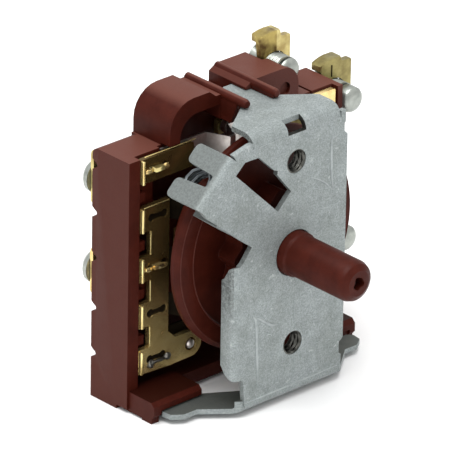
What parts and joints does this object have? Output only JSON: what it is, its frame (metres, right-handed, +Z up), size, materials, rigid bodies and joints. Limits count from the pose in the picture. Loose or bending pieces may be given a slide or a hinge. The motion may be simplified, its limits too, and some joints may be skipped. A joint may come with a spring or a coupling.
{
  "type": "selector switch",
  "caption": "Rotary selector switch: folded bracket, moulded housing with feet and hood, cam disc on a round shaft, leaf contacts, comb and screw terminals.",
  "frame": {"origin": "on the housing's bottom rail, under the shaft's axis", "axes": "+Z up from the bottom rail to the top terminal, -Y out of the bracket's front along the shaft, +X to the right seen from the shaft's side"},
  "size_m": [0.0463, 0.0353, 0.0479],
  "materials": {
    "phenolic": "moulded red-brown phenolic, satin",
    "phenolic_rotor": "moulded brown, satin",
    "galvanised_sheet": "galvanised sheet with faint spangle",
    "brass": "stamped brass, lightly tarnished",
    "zinc_plated_steel": "bright zinc plating",
    "spring_steel": "dark spring wire",
    "contact_silver": "silver plated"
  },
  "bodies": {
    "housing": {"housing": "phenolic", "bracket": "galvanised_sheet", "contact_plate": "brass", "contact_comb": "brass", "comb_rivet": "contact_silver", "right_plate_upper": "brass", "right_plate_lower": "brass", "leaf_spring_1": "contact_silver", "leaf_spring_2": "brass", "leaf_spring_3": "brass", "leaf_spring_4": "brass", "leaf_spring_5": "brass", "moving_contact_1": "contact_silver", "moving_contact_2": "contact_silver", "moving_contact_3": "contact_silver", "moving_contact_4": "contact_silver", "moving_contact_5": "contact_silver", "fixed_contact_1": "contact_silver", "fixed_contact_2": "contact_silver", "fixed_contact_3": "contact_silver", "fixed_contact_4": "contact_silver", "fixed_contact_5": "contact_silver", "left_terminal_1": "brass", "left_terminal_2": "brass", "top_terminal": "brass", "upper_terminal": "brass", "lower_terminal": "brass", "terminal_screw_1": "zinc_plated_steel", "terminal_screw_2": "zinc_plated_steel", "terminal_screw_3": "zinc_plated_steel", "terminal_screw_4": "zinc_plated_steel", "terminal_screw_5": "zinc_plated_steel", "detent_spring": "spring_steel"},
    "rotor": {"cam_disc": "phenolic_rotor", "shaft": "phenolic_rotor"},
    "detent": {"detent_plunger": "phenolic_rotor"}
  },
  "joints": [
    {"name": "shaft_turn", "type": "hinge", "parent": "housing", "child": "rotor", "pos_m": [0, -0.0155, 0.0229], "axis": [0, 1, 0], "continuous": true},
    {"name": "plunger_slide", "type": "slide", "parent": "housing", "child": "detent", "axis": [-0.7071, 0, 0.7071], "range_m": [0, 0.0012], "stiffness_N_per_m": 2000, "springref_m": -0.003}
  ]
}
